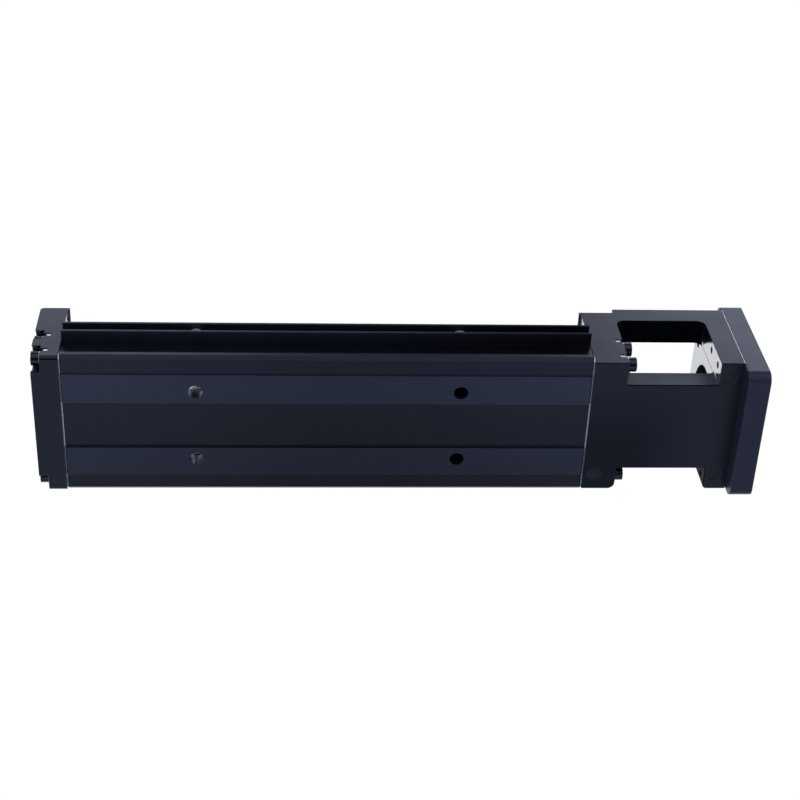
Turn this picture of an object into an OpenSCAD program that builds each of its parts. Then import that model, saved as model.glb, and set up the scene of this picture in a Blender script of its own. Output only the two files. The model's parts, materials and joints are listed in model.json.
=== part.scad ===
// Ball screw linear module. A U-shaped steel rail carries a carriage on four rows of
// balls, and a ball screw between an end block and a die-cast motor housing drives it.
// X runs along the rail towards the motor end and Z is up. The origin is the centre of
// the rail's mounting face. All sizes are in millimetres.

/* [Rail] */
// Length of the rail
rail_len = 200; // [170:10:300]
// Width over the rail's foot
rail_w = 60; // [58:0.5:66]
// Height of the side walls above the mounting face
wall_h = 29; // [28:0.5:32]
// Inset of each side wall from the edge of the foot
foot_step = 1.5; // [1:0.25:2.5]
// Height of the foot along each side
foot_h = 4; // [3:0.5:6]
// Width of the channel between the side walls
channel_w = 39; // [38:0.5:41]
// Thickness of the channel floor
floor_t = 9; // [8.5:0.25:10]
// Width of the relieved strip along the middle of the underside
recess_w = 20; // [14:1:22]
// Depth of the relieved strip
recess_d = 1; // [0.5:0.1:1.5]
// Width of each mounting land
land_w = 12.4; // [10:0.2:15]
// Depth of the step outside each land
edge_step = 0.6; // [0.2:0.1:1]
// Chamfer of the foot's lower outer edges
foot_chamfer = 1.5; // [0.4:0.1:1.8]
// Chamfer across both ends of the underside
end_chamfer = 0.8; // [0.4:0.1:2]
// Spacing of the mounting holes along the rail
hole_pitch_x = 100; // [60:10:120]
// Spacing of the mounting holes across the rail
hole_pitch_y = 30; // [28:1:32]
// Diameter of the mounting holes
hole_d = 5.5; // [4.5:0.5:6]
// Diameter of the counterbores in the channel floor
cbore_d = 9.5; // [8:0.5:10]
// Depth of the counterbores in the channel floor
cbore_depth = 5.4; // [4:0.2:6]

/* [Ball guide] */
// Diameter of the guide balls
guide_ball_d = 3; // [2.5:0.25:3.5]
// Clearance round each guide ball in its track
guide_clear = 0.25; // [0.1:0.05:0.4]
// Height of the lower ball track
track_z = 15; // [14:0.5:16]
// Height of the upper track above the lower one
track_rise = 9; // [8:0.5:10]
// Guide balls in each row
balls_per_row = 14; // [8:1:16]
// Distance from each track to its return hole
return_inset = 4.75; // [4.5:0.25:5]

/* [Ball screw] */
// Height of the screw axis above the mounting face
axis_h = 20; // [19:0.5:22]
// Outer diameter of the screw's thread
screw_d = 12; // [10:0.5:13]
// Gap between the screw and the bores that it passes through
screw_gap = 0.4; // [0.3:0.1:1]
// Diameter of the balls in the nut
screw_ball_d = 2.4; // [2:0.1:2.6]
// Distance of the nut's return hole above the screw axis
nut_return_rise = 10.5; // [10:0.25:11.5]
// Diameter of the journal in the motor housing
fixed_journal_d = 10; // [8:0.5:11]
// Length of the threaded stretch for the lock nut
nut_thread_len = 6; // [5:0.5:8]
// Diameter of the drive end
drive_d = 8; // [6:0.5:8]
// Length of the drive end
drive_len = 19; // [14:1:24]
// Diameter of the journal in the end block
support_journal_d = 8; // [6:0.5:9]

/* [Carriage] */
// Length of the carriage's steel block
block_len = 58; // [46:2:80]
// Height of the carriage's mounting face
carriage_h = 42; // [40:0.5:50]
// Gap between the carriage and each side wall
side_gap = 0.5; // [0.3:0.1:0.8]
// Gap between the carriage and the channel floor
floor_gap = 1; // [0.5:0.1:1.5]
// Length of each ball return cap
cap_len = 7; // [6:0.5:10]
// Thickness of each end seal
seal_t = 2; // [1.5:0.25:3]
// Spacing of the four threaded holes in the carriage, both ways
mount_pitch = 30; // [24:1:31]
// Diameter of the threaded holes in the carriage
mount_hole_d = 4.2; // [3.3:0.1:5]
// Depth of the threaded holes in the carriage
mount_depth = 10; // [6:0.5:11]
// Length of each rubber stopper
stopper_len = 5; // [3:0.5:8]
// Gap between the parked carriage and its stopper
home_gap = 2; // [1:0.5:6]

/* [End block] */
// Chamfer of the end block's lower outer edges
block_chamfer = 1.2; // [0.6:0.1:1.8]
// Thickness of the end block
end_t = 10.4; // [10:0.2:14]
// Height of the end block
end_h = 37; // [34:0.5:42]
// Overhang of the top lips over the rail
lip_len = 0.8; // [0.4:0.1:2]
// Height of the top lips
lip_h = 1; // [0.6:0.1:3]
// Depth of the screw pockets in the end block
end_pocket = 3.5; // [3:0.1:4]
// Depth of the washer seats in the end block
end_seat = 6.2; // [5.6:0.1:6.6]
// Outer diameter of the support bearing
support_od = 19; // [17:0.5:20]
// Width of the support bearing
support_w = 6; // [5:0.5:6]

/* [Motor housing] */
// Radius of the flange's corner towards the window, on the +Y side
flange_r = 2.6; // [1:0.2:3]
// Radius of the end wall's corner towards the window, on the +Y side
wall_r = 1.6; // [0.6:0.2:3]
// Thickness of the bearing flange
flange_t = 13; // [13:0.5:16]
// Inset of the motor housing's sides from the edge of the rail's foot
housing_inset = 1.3; // [0.5:0.1:2]
// Height of the bearing flange
flange_h = 38.7; // [36:0.1:41]
// Length of the coupling window
window_len = 35.3; // [30:0.1:45]
// Height of the coupling window
window_h = 32.6; // [29:0.2:34]
// Corner radius of the coupling window
window_r = 3.5; // [2:0.5:5]
// Height of the coupling housing
housing_h = 41.4; // [40:0.1:44]
// Thickness of the end wall
end_wall_t = 9.1; // [8:0.1:12]
// Width of the slab under the coupling
slab_w = 38; // [32:0.5:40]
// Thickness of the slab under the coupling
slab_t = 9; // [6:0.5:10]
// Radius of the slab's corners against the end wall
slab_fillet = 1.5; // [1:0.5:4]
// Width of the opening over the coupling
top_gap = 37.6; // [32:0.2:40]
// Diameter of the bore in the end wall
wall_bore_d = 28; // [26:0.5:31]
// Diameter of the circle of tapped holes in the end wall
wall_pcd = 46; // [46:0.5:48]
// Depth of the washer seats in the bearing flange
flange_seat = 2.6; // [2:0.1:4]
// Outer diameter of the fixed bearings
fixed_od = 22; // [20:0.5:24]
// Width of each fixed bearing
fixed_w = 6; // [5:0.5:6]
// Outer diameter of the bearing retainer
retainer_d = 33; // [31:0.5:34]
// Thickness of the bearing retainer
retainer_t = 1.6; // [1:0.1:2]
// Outer diameter of the lock nut
lock_nut_d = 16; // [14:0.5:17]

/* [Motor plate] */
// Thickness of the motor plate
plate_t = 8.6; // [8:0.1:14]
// Width and height of the motor plate
plate_w = 56; // [56:0.5:60]
// Corner radius of the motor plate
plate_r = 4; // [2:0.5:5]
// Diameter of the motor's pilot recess
pilot_d = 38.1; // [32:0.1:38.2]
// Depth of the motor's pilot recess
pilot_depth = 3; // [2:0.5:4]
// Spacing of the motor's threaded holes, both ways
motor_pitch = 47.14; // [46:0.02:48]
// Diameter of the motor's threaded holes
motor_hole_d = 4.2; // [3.3:0.1:5]
// Depth of the motor's threaded holes
motor_hole_depth = 7.5; // [5:0.5:7.5]

/* [Sensor rail] */
// Height of the sensor rail's underside
sensor_z = 12.7; // [11:0.1:14]
// Height of the sensor rail's section
sensor_h = 6.9; // [6.5:0.1:9]
// Depth of the sensor rail's section
sensor_depth = 5.4; // [4.5:0.1:7]
// Wall thickness of the sensor rail
sensor_t = 1; // [0.8:0.1:1.2]

/* [Fasteners] */
// Thread diameter of the frame screws
frame_screw_d = 3; // [2.5:0.5:4]
// Distance of the end block's screws in from the edge of the rail's foot
block_screw_inset = 3.7; // [3.6:0.1:4.5]
// Distance of the motor housing's screws in from the edge of the rail's foot
housing_screw_inset = 5; // [4.9:0.1:5.4]
// Height of the lower frame screws
frame_screw_z = 5.2; // [5:0.1:6]
// Height of the upper frame screws above the lower ones
frame_screw_rise = 11.2; // [10.4:0.2:12]
// Thread diameter of the screws in the end wall
wall_screw_d = 3; // [2.5:0.5:4]
// Thread diameter of the small screws
small_screw_d = 2.6; // [2:0.1:3]

/* [Hidden] */
$fn = 48;

// Overlap of a cutting solid past the face that it opens
cut = 1;
// Radial gap of a screw in its threaded hole
thread_gap = 0.1;
// Radial gap of a screw in its clearance hole
hole_gap = 0.3;
// Gap between a loose piece and its seat
seat_gap = 0.3;

// Width of the motor housing
housing_w = rail_w - 2 * housing_inset;

// Ends of the rail
x_left = -rail_len / 2;
x_right = rail_len / 2;

// Heights of the two ball tracks and the distance of the tracks from the centre plane
track_heights = [track_z, track_z + track_rise];
track_y = channel_w / 2 - side_gap / 2;
track_r = guide_ball_d / 2 + guide_clear;
return_y = track_y - return_inset;

// Carriage
block_w = channel_w - 2 * side_gap;
block_z = floor_t + floor_gap;
carriage_len = block_len + 2 * cap_len + 2 * seal_t;
carriage_x = x_right - stopper_len - home_gap - carriage_len / 2;
nut_bore_d = screw_d + 2 * screw_gap;
cap_inset = 0.3;
cap_screw_y = block_w / 2 - 4;
cap_screw_z = carriage_h - 4;

// Places of the four frame screws at one end of the rail, at the given inset
function frame_screw_places(inset) = [
    for (side = [-1, 1]) for (rise = [0, frame_screw_rise])
        [side * (rail_w / 2 - inset), frame_screw_z + rise]
];
block_screw_places = frame_screw_places(block_screw_inset);
housing_screw_places = frame_screw_places(housing_screw_inset);
frame_grip = 9;
frame_tap_depth = frame_grip + 3;
washer_t = 1.6;
spring_t = 1.6;
washer_stack = washer_t + spring_t;
// Gap round a washer in its seat, on the diameter
washer_play = 0.3;
// Gap between the tip of a screw and the bottom of its hole
tip_gap = 0.6;

// Each washer seat breaks through the side of its end piece by this much
seat_break = 0.07;
block_seat_d = 2 * (block_screw_inset + seat_break);
housing_seat_d = 2 * (housing_screw_inset - housing_inset + seat_break);
// Play round a screw head in its pocket, on the diameter
pocket_play = 4;
// Width of the lower pockets' opening in the underside, from the side of the end block
pocket_open = 7;

// Stations along the screw, from the end block to the drive end
x_block_out = x_left - end_t;
support_web = 2.5;
x_support = x_left - support_web;
x_support_out = x_support - support_w;
ring_t = 0.6;
ring_groove = 0.3;
// Length of the journal past the retaining ring, and the gap from there to the bearing cap
ring_land = 0.2;
cap_gap = 0.2;
cap_t = end_t - support_web - support_w - ring_t - ring_land - cap_gap;
// Bore in the end pieces and stoppers that the screw's thread runs through
passage_d = screw_d + 4;
x_thread_start = x_left + 2;
x_fixed = x_right + flange_t - 2 * fixed_w;
x_flange = x_right + flange_t;
x_nut_end = x_flange + nut_thread_len - 1;
x_drive = x_flange + nut_thread_len;
x_window = x_flange + window_len;
x_wall_out = x_window + end_wall_t;
x_plate_out = x_wall_out + plate_t;

// Marks of the ejector pins on the underside of the motor housing
ejector_d = 5.6;
ejector_depth = 0.4;
ejector_x = [x_right + 4.5, x_wall_out - 5.2];
ejector_y = housing_w / 2 - 6.7;

// Sizes of a socket head cap screw, from its thread diameter
function head_d(d) = 1.5 * d + 1;
function hex_d(d) = 0.92 * d;

// Places of four things on a square of the given pitch round the screw axis
function square_places(pitch) = [
    for (y = [-1, 1]) for (z = [-1, 1]) [y * pitch / 2, axis_h + z * pitch / 2]
];

// Extrudes a (Y, Z) outline along X from x0
module along_x(x0, length) {
    translate([x0, 0, 0]) rotate([90, 0, 90]) linear_extrude(length) children();
}

// Extrudes an (X, Z) outline along Y, centred on the centre plane
module along_y(width) {
    translate([0, width / 2, 0]) rotate([90, 0, 0]) linear_extrude(width) children();
}

// Cylinder along X from x0 to x1 at the given Y and Z
module rod_x(x0, x1, d, y = 0, z = axis_h) {
    translate([x0, y, z]) rotate([0, 90, 0]) cylinder(h = x1 - x0, d = d);
}

// Turns a (radius, X) profile round the screw axis
module revolve_on_axis() {
    translate([0, 0, axis_h]) rotate([0, 90, 0]) rotate_extrude() children();
}

// Box from its low corner to its high corner
module box(low, high) {
    translate(low) cube(high - low);
}

// Rectangle with four round corners
module round_rect(low, high, r) {
    size = high - low;
    translate(low + [r, 0]) square([size[0] - 2 * r, size[1]]);
    translate(low + [0, r]) square([size[0], size[1] - 2 * r]);
    for (x = [low[0] + r, high[0] - r])
        for (y = [low[1] + r, high[1] - r])
            translate([x, y]) circle(r);
}

// Socket head cap screw along X. Its head stands on x = 0 and points to +X.
module cap_screw(d, length) {
    difference() {
        union() {
            rotate([0, 90, 0]) cylinder(h = d, d = head_d(d));
            rotate([0, -90, 0]) cylinder(h = length, d = d);
        }
        translate([d / 2, 0, 0]) rotate([0, 90, 0]) cylinder(h = d, d = hex_d(d), $fn = 6);
    }
}

// The same with a low head, for thin pieces
module low_screw(d, length) {
    difference() {
        union() {
            rotate([0, 90, 0]) cylinder(h = d / 2, d = 0.9 * head_d(d));
            rotate([0, -90, 0]) cylinder(h = length, d = d);
        }
        translate([d / 5, 0, 0]) rotate([0, 90, 0]) cylinder(h = d, d = hex_d(d), $fn = 6);
    }
}

// Plain washer and split spring washer under a head at x = 0, towards -X
module washer_pair(d, outer_d) {
    hole = d + 2 * hole_gap;
    translate([-washer_stack, 0, 0]) rotate([0, 90, 0]) difference() {
        cylinder(h = washer_t, d = outer_d);
        translate([0, 0, -cut]) cylinder(h = washer_t + 2 * cut, d = hole);
    }
    translate([-spring_t, 0, 0]) rotate([0, 90, 0]) difference() {
        cylinder(h = spring_t, d = head_d(d));
        translate([0, 0, -cut]) cylinder(h = spring_t + 2 * cut, d = hole);
        translate([0, -d / 10, -cut]) cube([head_d(d), d / 5, spring_t + 2 * cut]);
    }
}

// One ring of a ball bearing, with the groove that the balls run in
module bearing_ring(x0, width, inner_d, outer_d, pitch_d, groove_r) {
    revolve_on_axis() difference() {
        translate([inner_d / 2, x0]) square([(outer_d - inner_d) / 2, width]);
        translate([pitch_d / 2, x0 + width / 2]) circle(groove_r);
    }
}

// Ball set of a bearing
module bearing_balls(x0, width, pitch_d, ball_d, count) {
    for (i = [0 : count - 1])
        translate([x0 + width / 2, 0, axis_h])
            rotate([i * 360 / count, 0, 0])
                translate([0, 0, pitch_d / 2])
                    sphere(d = ball_d);
}

// Proportions of a deep groove bearing between a journal and a housing bore
function bearing_pitch(inner_d, outer_d) = (inner_d + outer_d) / 2;
function bearing_section(inner_d, outer_d) = (outer_d - inner_d) / 2;
function ring_wall(inner_d, outer_d) = bearing_section(inner_d, outer_d) * 0.32;
function bearing_ball_d(inner_d, outer_d) = bearing_section(inner_d, outer_d) * 0.46;
bearing_clear = 0.2;
// Difference in diameter between a ring and its seat
ring_fit = 0.04;
bearing_ball_count = 10;

// Outline of the rail's section
module rail_outline() {
    half = rail_w / 2;
    wall = half - foot_step;
    land = recess_w / 2 + land_w;
    inner = channel_w / 2;
    edge = 0.8;
    right_half = [
        [0, recess_d], [recess_w / 2, recess_d], [recess_w / 2, 0], [land, 0],
        [land, edge_step], [half - foot_chamfer, edge_step], [half, edge_step + foot_chamfer],
        [half, foot_h], [wall, foot_h],
        [wall, wall_h - edge], [wall - edge, wall_h], [inner + edge, wall_h],
        [inner, wall_h - edge], [inner, floor_t + edge], [inner - edge, floor_t], [0, floor_t]
    ];
    polygon(right_half);
    mirror([1, 0]) polygon(right_half);
}

module rail() {
    color([0.17, 0.18, 0.22]) difference() {
        along_x(x_left, rail_len) rail_outline();
        for (side = [-1, 1])
            for (z = track_heights)
                rod_x(x_left - cut, x_right + cut, 2 * track_r, side * track_y, z);
        for (x = [-1, 1]) for (y = [-1, 1])
            translate([x * hole_pitch_x / 2, y * hole_pitch_y / 2, 0]) {
                translate([0, 0, -cut]) cylinder(h = floor_t + 2 * cut, d = hole_d);
                translate([0, 0, floor_t - cbore_depth]) cylinder(h = cbore_depth + cut, d = cbore_d);
            }
        for (p = block_screw_places)
            rod_x(x_left - cut, x_left + frame_tap_depth, frame_screw_d + 2 * thread_gap, p[0], p[1]);
        for (p = housing_screw_places)
            rod_x(x_right - frame_tap_depth, x_right + cut, frame_screw_d + 2 * thread_gap, p[0], p[1]);
        for (side = [-1, 1]) for (x = [-1, 1])
            translate([x * hole_pitch_x / 2, side * sensor_wall_y, sensor_screw_z])
                rotate([side * 90, 0, 0])
                    cylinder(h = 2 * sensor_tap_depth, d = small_screw_d + 2 * thread_gap, center = true);
        for (side = [-1, 1])
            along_y(rail_w + 2 * cut)
                polygon([
                    [side * (x_right - end_chamfer - cut), -cut], [side * (x_right + cut), -cut],
                    [side * (x_right + cut), end_chamfer + cut]
                ]);
    }
}

// Sensor rail on the -Y wall
sensor_wall_y = rail_w / 2 - foot_step;
sensor_screw_z = sensor_z + sensor_h / 2;
sensor_tap_depth = 4.5;

module sensor_rail() {
    color([0.12, 0.13, 0.16]) difference() {
        along_x(x_left, rail_len)
            translate([-sensor_wall_y - sensor_depth, sensor_z])
                difference() {
                    square([sensor_depth, sensor_h]);
                    translate([-sensor_t, sensor_t])
                        square([sensor_depth, sensor_h - 2 * sensor_t]);
                }
        for (x = [-1, 1])
            translate([x * hole_pitch_x / 2, -sensor_wall_y, sensor_screw_z])
                rotate([90, 0, 0])
                    cylinder(h = 4 * sensor_t, d = small_screw_d + 2 * hole_gap, center = true);
    }
}

module sensor_rail_screws() {
    for (x = [-1, 1])
        color([0.6, 0.61, 0.64])
            translate([x * hole_pitch_x / 2, -sensor_wall_y - sensor_t, sensor_screw_z])
                rotate([0, 0, -90])
                    low_screw(small_screw_d, sensor_tap_depth);
}

// Plain (X, Z) outline of an end piece, with its top lip over the rail's end
function end_outline(x_in, x_out, height, lip_dir, edge) = [
    [x_in, 0], [x_in, height - lip_h], [x_in + lip_dir * lip_len, height - lip_h],
    [x_in + lip_dir * lip_len, height], [x_out + lip_dir * edge, height],
    [x_out, height - edge], [x_out, 0]
];

module end_block() {
    half = rail_w / 2;
    pocket_d = head_d(frame_screw_d) + pocket_play;
    color([0.2, 0.21, 0.25]) difference() {
        along_y(rail_w) polygon(end_outline(x_left, x_block_out, end_h, 1, 1));
        rod_x(x_block_out - cut, x_support, support_od);
        rod_x(x_support - cut, x_left + cut, passage_d);
        for (p = block_screw_places) {
            rod_x(x_block_out - cut, x_left + cut, frame_screw_d + 2 * hole_gap, p[0], p[1]);
            rod_x(x_block_out - cut, x_block_out + end_seat, block_seat_d, p[0], p[1]);
            rod_x(x_block_out - cut, x_block_out + end_pocket, pocket_d, p[0], p[1]);
        }
        for (side = [0, 1])
            mirror([0, side, 0]) {
                box([x_block_out - cut, half - pocket_open, -cut],
                    [x_block_out + end_pocket, half + cut, frame_screw_z]);
                along_x(x_block_out - cut, end_t + 2 * cut)
                    polygon([
                        [half - block_chamfer - cut, -cut], [half + cut, -cut],
                        [half + cut, block_chamfer + cut]
                    ]);
            }
    }
}

module end_block_screws() {
    for (p = block_screw_places)
        color([0.1, 0.1, 0.12])
            translate([x_block_out + end_seat - washer_stack, p[0], p[1]])
                mirror([1, 0, 0])
                    cap_screw(frame_screw_d, end_t - end_seat + washer_stack + frame_grip);
}

module end_block_washers() {
    for (p = block_screw_places)
        color([0.62, 0.63, 0.66])
            translate([x_block_out + end_seat - washer_stack, p[0], p[1]])
                mirror([1, 0, 0])
                    washer_pair(frame_screw_d, block_seat_d - washer_play);
}

module bearing_cap() {
    color([0.1, 0.1, 0.11]) rod_x(x_block_out, x_block_out + cap_t, support_od - 2 * ring_fit);
}

support_pitch = bearing_pitch(support_journal_d, support_od);
support_wall = ring_wall(support_journal_d, support_od);
support_ball_d = bearing_ball_d(support_journal_d, support_od);

module support_bearing_outer_ring() {
    color([0.7, 0.71, 0.73])
        bearing_ring(x_support_out, support_w, support_od - 2 * support_wall, support_od - ring_fit,
            support_pitch, support_ball_d / 2 + bearing_clear);
}

module support_bearing_inner_ring() {
    color([0.7, 0.71, 0.73])
        bearing_ring(x_support_out, support_w, support_journal_d + ring_fit, support_journal_d + 2 * support_wall,
            support_pitch, support_ball_d / 2 + bearing_clear);
}

module support_bearing_balls() {
    color([0.85, 0.85, 0.87])
        bearing_balls(x_support_out, support_w, support_pitch, support_ball_d, bearing_ball_count);
}

module retaining_ring() {
    rim = 1.5;
    mouth = 2.4;
    color([0.25, 0.25, 0.27]) difference() {
        rod_x(x_support_out - ring_t, x_support_out, support_journal_d + 2 * rim);
        rod_x(x_support_out - ring_t - cut, x_support_out + cut, support_journal_d - 2 * ring_groove + ring_fit);
        box([x_support_out - ring_t - cut, -mouth / 2, axis_h - support_journal_d],
            [x_support_out + cut, mouth / 2, axis_h]);
    }
}

// Rubber stopper on an end piece, open at the top to let the screw in
module stopper(x0) {
    half = channel_w / 2 - 2;
    low = floor_t + seat_gap;
    high = wall_h - 1;
    difference() {
        along_x(x0, stopper_len) round_rect([-half, low], [half, high], 2);
        rod_x(x0 - cut, x0 + stopper_len + cut, passage_d);
        box([x0 - cut, -passage_d / 2, axis_h], [x0 + stopper_len + cut, passage_d / 2, high + cut]);
    }
}

module stopper_left() {
    color([0.08, 0.08, 0.08]) stopper(x_left);
}

module stopper_right() {
    color([0.08, 0.08, 0.08]) stopper(x_right - stopper_len);
}

// What lies between a square corner and its round of radius r, in the quadrant given
// by the signs. It fills a concave corner or is cut from a convex one.
module corner_fillet(corner, r, sx, sy) {
    translate(corner) difference() {
        translate([sx > 0 ? 0 : -r, sy > 0 ? 0 : -r]) square(r);
        translate([sx * r, sy * r]) circle(r);
    }
}

// Side window of the coupling space, as an (X, Z) outline open at the bottom
module window_outline() {
    difference() {
        translate([x_flange, -cut]) square([window_len, window_h + cut]);
        corner_fillet([x_flange, window_h], window_r, 1, -1);
        corner_fillet([x_window, window_h], window_r, -1, -1);
    }
}

// Top view of what stays of the slab under the coupling
module slab_outline() {
    translate([x_flange, -slab_w / 2]) square([window_len, slab_w]);
    for (side = [-1, 1])
        corner_fillet([x_window, side * slab_w / 2], slab_fillet, -1, side);
}

module motor_housing() {
    half = housing_w / 2;
    key_hole_d = hex_d(frame_screw_d);
    color([0.19, 0.2, 0.24]) difference() {
        union() {
            along_y(housing_w) polygon(end_outline(x_right, x_flange, flange_h, -1, 0));
            difference() {
                box([x_flange, -half, 0], [x_wall_out, half, housing_h]);
                along_y(housing_w + 2 * cut) window_outline();
                along_x(x_flange, window_len)
                    round_rect([-top_gap / 2, slab_t], [top_gap / 2, housing_h + 4 * window_r], window_r);
            }
            linear_extrude(slab_t) slab_outline();
        }
        rod_x(x_fixed, x_flange + cut, fixed_od);
        rod_x(x_right - cut, x_fixed + cut, passage_d);
        rod_x(x_window - cut, x_wall_out + cut, wall_bore_d);
        for (p = housing_screw_places) {
            rod_x(x_right - cut, x_flange + cut, frame_screw_d + 2 * hole_gap, p[0], p[1]);
            rod_x(x_flange - flange_seat, x_flange + cut, housing_seat_d, p[0], p[1]);
            rod_x(x_window - cut, x_wall_out + cut, key_hole_d, p[0], p[1]);
        }
        for (p = square_places(wall_pitch))
            rod_x(x_window - cut, x_wall_out + cut, wall_screw_d + 2 * thread_gap, p[0], p[1]);
        for (p = retainer_places)
            rod_x(x_flange - retainer_tap, x_flange + cut, small_screw_d + 2 * thread_gap, p[0], p[1]);
        translate([0, 0, -cut])
            linear_extrude(window_h + cut) {
                corner_fillet([x_flange, half], flange_r, -1, -1);
                corner_fillet([x_window, half], wall_r, 1, -1);
            }
        for (x = ejector_x) for (side = [-1, 1])
            translate([x, side * ejector_y, -cut])
                cylinder(h = cut + ejector_depth, d = ejector_d);
    }
}

// Pitch of the four tapped holes in the end wall
wall_pitch = wall_pcd / sqrt(2);
retainer_tap = 5;
// The retainer's screws stand on a circle midway across its rim, clear of the slab
retainer_r = (fixed_od + retainer_d) / 4;
retainer_places = [
    for (side = [-1, 1]) for (a = [-20, 50])
        [side * retainer_r * cos(a), axis_h + retainer_r * sin(a)]
];

module housing_screws() {
    for (p = housing_screw_places)
        color([0.1, 0.1, 0.12])
            translate([x_flange - flange_seat + washer_stack, p[0], p[1]])
                cap_screw(frame_screw_d, flange_t - flange_seat + washer_stack + frame_grip);
}

module housing_washers() {
    for (p = housing_screw_places)
        color([0.62, 0.63, 0.66])
            translate([x_flange - flange_seat + washer_stack, p[0], p[1]])
                washer_pair(frame_screw_d, housing_seat_d - washer_play);
}

fixed_pitch = bearing_pitch(fixed_journal_d, fixed_od);
fixed_wall = ring_wall(fixed_journal_d, fixed_od);
fixed_ball_d = bearing_ball_d(fixed_journal_d, fixed_od);

module fixed_bearing_outer_rings() {
    color([0.7, 0.71, 0.73])
        for (i = [0, 1])
            bearing_ring(x_fixed + i * fixed_w, fixed_w, fixed_od - 2 * fixed_wall, fixed_od - ring_fit,
                fixed_pitch, fixed_ball_d / 2 + bearing_clear);
}

module fixed_bearing_inner_rings() {
    color([0.7, 0.71, 0.73])
        for (i = [0, 1])
            bearing_ring(x_fixed + i * fixed_w, fixed_w, fixed_journal_d + ring_fit,
                fixed_journal_d + 2 * fixed_wall, fixed_pitch, fixed_ball_d / 2 + bearing_clear);
}

module fixed_bearing_balls() {
    color([0.85, 0.85, 0.87])
        for (i = [0, 1])
            bearing_balls(x_fixed + i * fixed_w, fixed_w, fixed_pitch, fixed_ball_d, bearing_ball_count);
}

module bearing_retainer() {
    color([0.3, 0.31, 0.34]) difference() {
        intersection() {
            rod_x(x_flange, x_flange + retainer_t, retainer_d);
            box([x_flange - cut, -retainer_d, slab_t + seat_gap],
                [x_flange + retainer_t + cut, retainer_d, axis_h + retainer_d]);
        }
        rod_x(x_flange - cut, x_flange + retainer_t + cut, fixed_od - 2 * fixed_wall);
        for (p = retainer_places)
            rod_x(x_flange - cut, x_flange + retainer_t + cut, small_screw_d + 2 * hole_gap, p[0], p[1]);
    }
}

module retainer_screws() {
    for (p = retainer_places)
        color([0.1, 0.1, 0.12])
            translate([x_flange + retainer_t, p[0], p[1]])
                cap_screw(small_screw_d, retainer_t + retainer_tap - tip_gap);
}

module lock_nut() {
    slot_w = 3;
    slot_len = 2.5;
    slot_depth = 1;
    color([0.22, 0.22, 0.24]) difference() {
        rod_x(x_flange, x_nut_end, lock_nut_d);
        rod_x(x_flange - cut, x_nut_end + cut, fixed_journal_d + 2 * thread_gap);
        for (a = [45 : 90 : 315])
            translate([0, 0, axis_h]) rotate([a, 0, 0])
                box([x_nut_end - slot_len, -slot_w / 2, lock_nut_d / 2 - slot_depth],
                    [x_nut_end + cut, slot_w / 2, lock_nut_d]);
        translate([(x_flange + x_nut_end) / 2, 0, axis_h])
            cylinder(h = lock_nut_d, d = small_screw_d + 2 * thread_gap);
    }
}

module lock_nut_set_screw() {
    color([0.5, 0.5, 0.52]) difference() {
        translate([(x_flange + x_nut_end) / 2, 0, axis_h + fixed_journal_d / 2])
            cylinder(h = (lock_nut_d - fixed_journal_d) / 2 - seat_gap, d = small_screw_d);
        translate([(x_flange + x_nut_end) / 2, 0, axis_h + lock_nut_d / 2 - small_screw_d / 2])
            cylinder(h = lock_nut_d, d = hex_d(small_screw_d) * 0.6, $fn = 6);
    }
}

// (radius, X) profile of the screw with its journals and chamfers
module ball_screw() {
    r = screw_d / 2;
    shoulder = support_journal_d / 2 + 1;
    journal = support_journal_d / 2;
    fixed = fixed_journal_d / 2;
    drive = drive_d / 2;
    edge = 0.5;
    x_end = x_support_out - ring_t - ring_land;
    x_drive_end = x_drive + drive_len;
    color([0.66, 0.67, 0.7]) revolve_on_axis() polygon([
        [0, x_end], [journal - edge, x_end], [journal, x_end + edge / 2],
        [journal, x_support_out - ring_t], [journal - ring_groove, x_support_out - ring_t],
        [journal - ring_groove, x_support_out], [journal, x_support_out],
        [journal, x_support], [shoulder, x_support], [shoulder, x_thread_start],
        [r, x_thread_start + r - shoulder], [r, x_fixed], [fixed, x_fixed],
        [fixed, x_drive - edge], [fixed - edge, x_drive], [drive, x_drive],
        [drive, x_drive_end - edge], [drive - edge, x_drive_end], [0, x_drive_end]
    ]);
}

// (Y, Z) outline of the carriage, made smaller all round by the inset
module carriage_outline(inset) {
    half = block_w / 2 - inset;
    low = block_z + inset;
    high = carriage_h - inset;
    corner = 2;
    edge = 1;
    polygon([
        [-half + corner, low], [half - corner, low], [half, low + corner], [half, high - edge],
        [half - edge, high], [-half + edge, high], [-half, high - edge], [-half, low + corner]
    ]);
}

// The four places of the ball tracks, as [side, height]
track_places = [for (side = [-1, 1]) for (z = track_heights) [side, z]];

nut_return_z = axis_h + nut_return_rise;
nut_return_d = screw_ball_d + 2 * guide_clear;

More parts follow.
